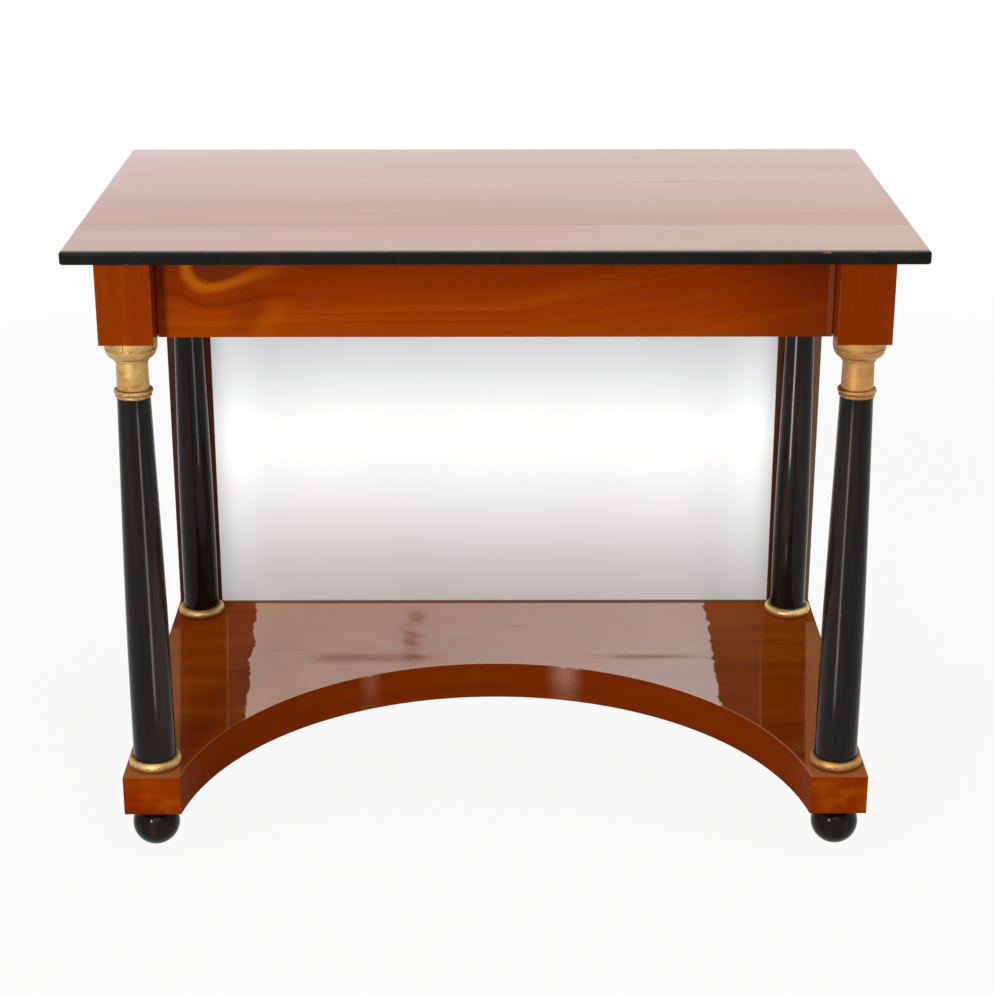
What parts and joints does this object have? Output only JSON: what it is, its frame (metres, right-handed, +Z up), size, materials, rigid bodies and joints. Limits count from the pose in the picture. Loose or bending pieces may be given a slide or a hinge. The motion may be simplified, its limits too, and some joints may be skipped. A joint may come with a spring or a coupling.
{
  "type": "pier table",
  "caption": "Console table in cherry veneer with ebonised columns, gilded capitals, a frieze drawer, a mirrored back and a bay-fronted plinth on ball feet.",
  "frame": {"origin": "on the floor, under the middle of the top's outline", "axes": "+Z up, +X to the right as seen from the front, +Y towards the wall; the drawer opens towards -Y"},
  "size_m": [1.06, 0.612, 0.8319],
  "materials": {
    "cherry_veneer": "red-brown cherry veneer, French polished to a gloss",
    "ebonised_wood": "black-stained and polished",
    "gilded_wood": "gilded, lightly worn",
    "mirror_glass": "silvered glass",
    "softwood": "plain planed softwood",
    "steel_screws": "plain steel"
  },
  "bodies": {
    "frame": {"back_board_screws": "steel_screws", "ball_foot_front_left": "ebonised_wood", "ball_foot_front_right": "ebonised_wood", "ball_foot_rear_left": "ebonised_wood", "ball_foot_rear_right": "ebonised_wood", "column_base_ring_front_left": "gilded_wood", "column_base_ring_front_right": "gilded_wood", "column_base_ring_rear_left": "gilded_wood", "column_base_ring_rear_right": "gilded_wood", "column_capital_front_left": "gilded_wood", "column_capital_front_right": "gilded_wood", "column_capital_rear_left": "gilded_wood", "column_capital_rear_right": "gilded_wood", "column_shaft_front_left": "ebonised_wood", "column_shaft_front_right": "ebonised_wood", "column_shaft_rear_left": "ebonised_wood", "column_shaft_rear_right": "ebonised_wood", "drawer_guide_left": "softwood", "drawer_guide_right": "softwood", "drawer_kicker_left": "softwood", "drawer_kicker_right": "softwood", "drawer_rail_lower": "softwood", "drawer_rail_upper": "softwood", "drawer_runner_left": "softwood", "drawer_runner_right": "softwood", "drawer_stops": "softwood", "frieze_back_rail": "softwood", "frieze_block_front_left": "cherry_veneer", "frieze_block_front_right": "cherry_veneer", "frieze_block_rear_left": "cherry_veneer", "frieze_block_rear_right": "cherry_veneer", "frieze_side_rail_left": "cherry_veneer", "frieze_side_rail_right": "cherry_veneer", "mirror_back_board": "softwood", "mirror_glass": "mirror_glass", "pilaster_left": "cherry_veneer", "pilaster_right": "cherry_veneer", "plinth_back_rail": "softwood", "plinth_block_front_left": "cherry_veneer", "plinth_block_front_right": "cherry_veneer", "plinth_block_rear_left": "cherry_veneer", "plinth_block_rear_right": "cherry_veneer", "plinth_front_rail": "cherry_veneer", "plinth_glue_blocks": "softwood", "plinth_platform": "cherry_veneer", "plinth_side_rail_left": "cherry_veneer", "plinth_side_rail_right": "cherry_veneer", "top_board": "cherry_veneer", "top_lipping_front": "ebonised_wood", "top_lipping_left": "ebonised_wood", "top_lipping_right": "ebonised_wood", "top_screws": "steel_screws"},
    "drawer": {"drawer_back": "softwood", "drawer_bottom": "softwood", "drawer_front": "cherry_veneer", "drawer_side_left": "softwood", "drawer_side_right": "softwood"}
  },
  "joints": [
    {"name": "drawer_slide", "type": "slide", "parent": "frame", "child": "drawer", "axis": [0, -1, 0], "range_m": [0, 0.3]}
  ]
}
